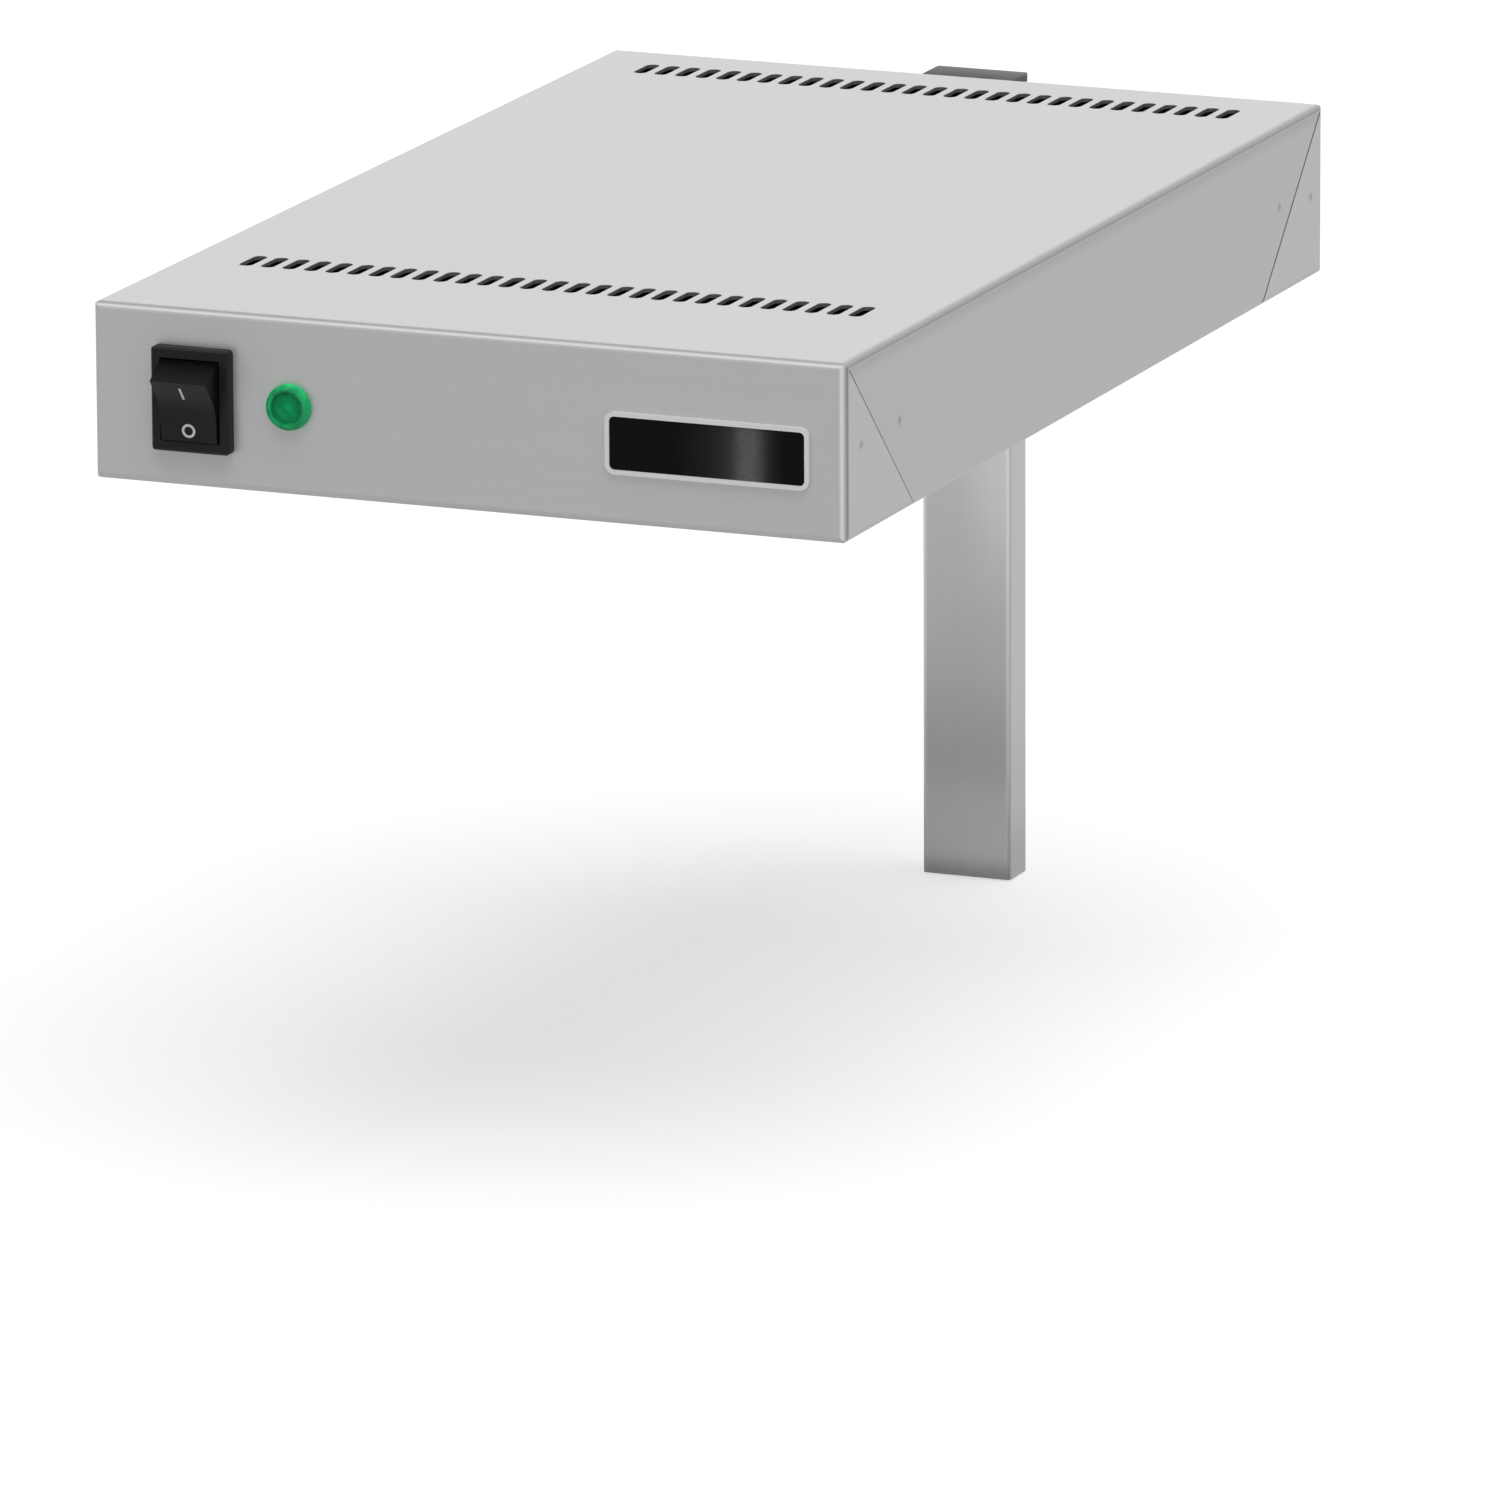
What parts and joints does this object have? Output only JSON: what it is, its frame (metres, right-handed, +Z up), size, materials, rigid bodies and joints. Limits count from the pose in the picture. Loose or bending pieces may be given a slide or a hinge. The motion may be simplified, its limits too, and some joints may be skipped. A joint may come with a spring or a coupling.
{
  "type": "heat lamp warmer",
  "caption": "Stainless heat lamp warmer head: flat vented box with ceramic infrared emitters under a wire guard, rocker switch and pilot light, cantilevered from a rectangular rear post.",
  "frame": {"origin": "centre of the post's lower end", "axes": "+X to the right seen from the front, +Y to the back, +Z up along the post"},
  "size_m": [0.24, 0.4327, 0.2605],
  "materials": {
    "satin_stainless": "satin",
    "inner_steel": "mill",
    "bright_fixings": "polished",
    "bright_aluminium": "bright",
    "chromed_wire": "bright",
    "white_ceramic": "satin",
    "silicone_lead": "matte",
    "black_plastic": "satin",
    "white_print": "matte",
    "brass_contacts": "satin",
    "green_lens": "gloss",
    "lamp_glass": "gloss",
    "plate_rim": "satin",
    "plate_field": "gloss",
    "seal_rubber": "matte"
  },
  "bodies": {
    "lamp": {"head_top": "satin_stainless", "front_wall": "satin_stainless", "rear_wall": "satin_stainless", "left_wall": "satin_stainless", "right_wall": "satin_stainless", "bottom_flange": "satin_stainless", "corner_backings": "inner_steel", "rear_stiffener": "inner_steel", "front_partition": "inner_steel", "rear_partition": "inner_steel", "control_cover": "inner_steel", "wiring_cover": "inner_steel", "cover_screws": "bright_fixings", "reflector": "bright_aluminium", "reflector_screws": "bright_fixings", "reflector_spacers": "bright_fixings", "reflector_nuts": "bright_fixings", "emitter_left": "white_ceramic", "emitter_right": "white_ceramic", "emitter_clips": "bright_fixings", "emitter_beads": "white_ceramic", "emitter_leads": "silicone_lead", "guard_grille": "chromed_wire", "switch_housing": "black_plastic", "switch_terminals": "brass_contacts", "switch_leads": "silicone_lead", "pilot_lens": "green_lens", "pilot_nut": "black_plastic", "pilot_neon": "lamp_glass", "pilot_leads": "silicone_lead", "nameplate_frame": "plate_rim", "nameplate_field": "plate_field", "mains_block": "white_ceramic", "junction_block": "white_ceramic", "block_screws": "brass_contacts", "mains_leads": "silicone_lead", "earth_stud": "brass_contacts", "earth_lead": "silicone_lead", "gland_body": "black_plastic", "gland_locknut": "black_plastic", "gland_cap": "black_plastic", "gland_seal": "seal_rubber", "post_tube": "satin_stainless", "post_cap": "black_plastic", "post_bolts": "bright_fixings", "post_washers": "bright_fixings", "post_nuts": "bright_fixings", "fixing_inserts": "bright_fixings", "foot_plug": "black_plastic"},
    "rocker": {"switch_rocker": "black_plastic", "rocker_marks": "white_print"}
  },
  "joints": [
    {"name": "rocker_tilt", "type": "hinge", "parent": "lamp", "child": "rocker", "pos_m": [-0.0873, -0.4098, 0.2334], "axis": [-1, 0, 0], "range_deg": [0, 46]}
  ]
}
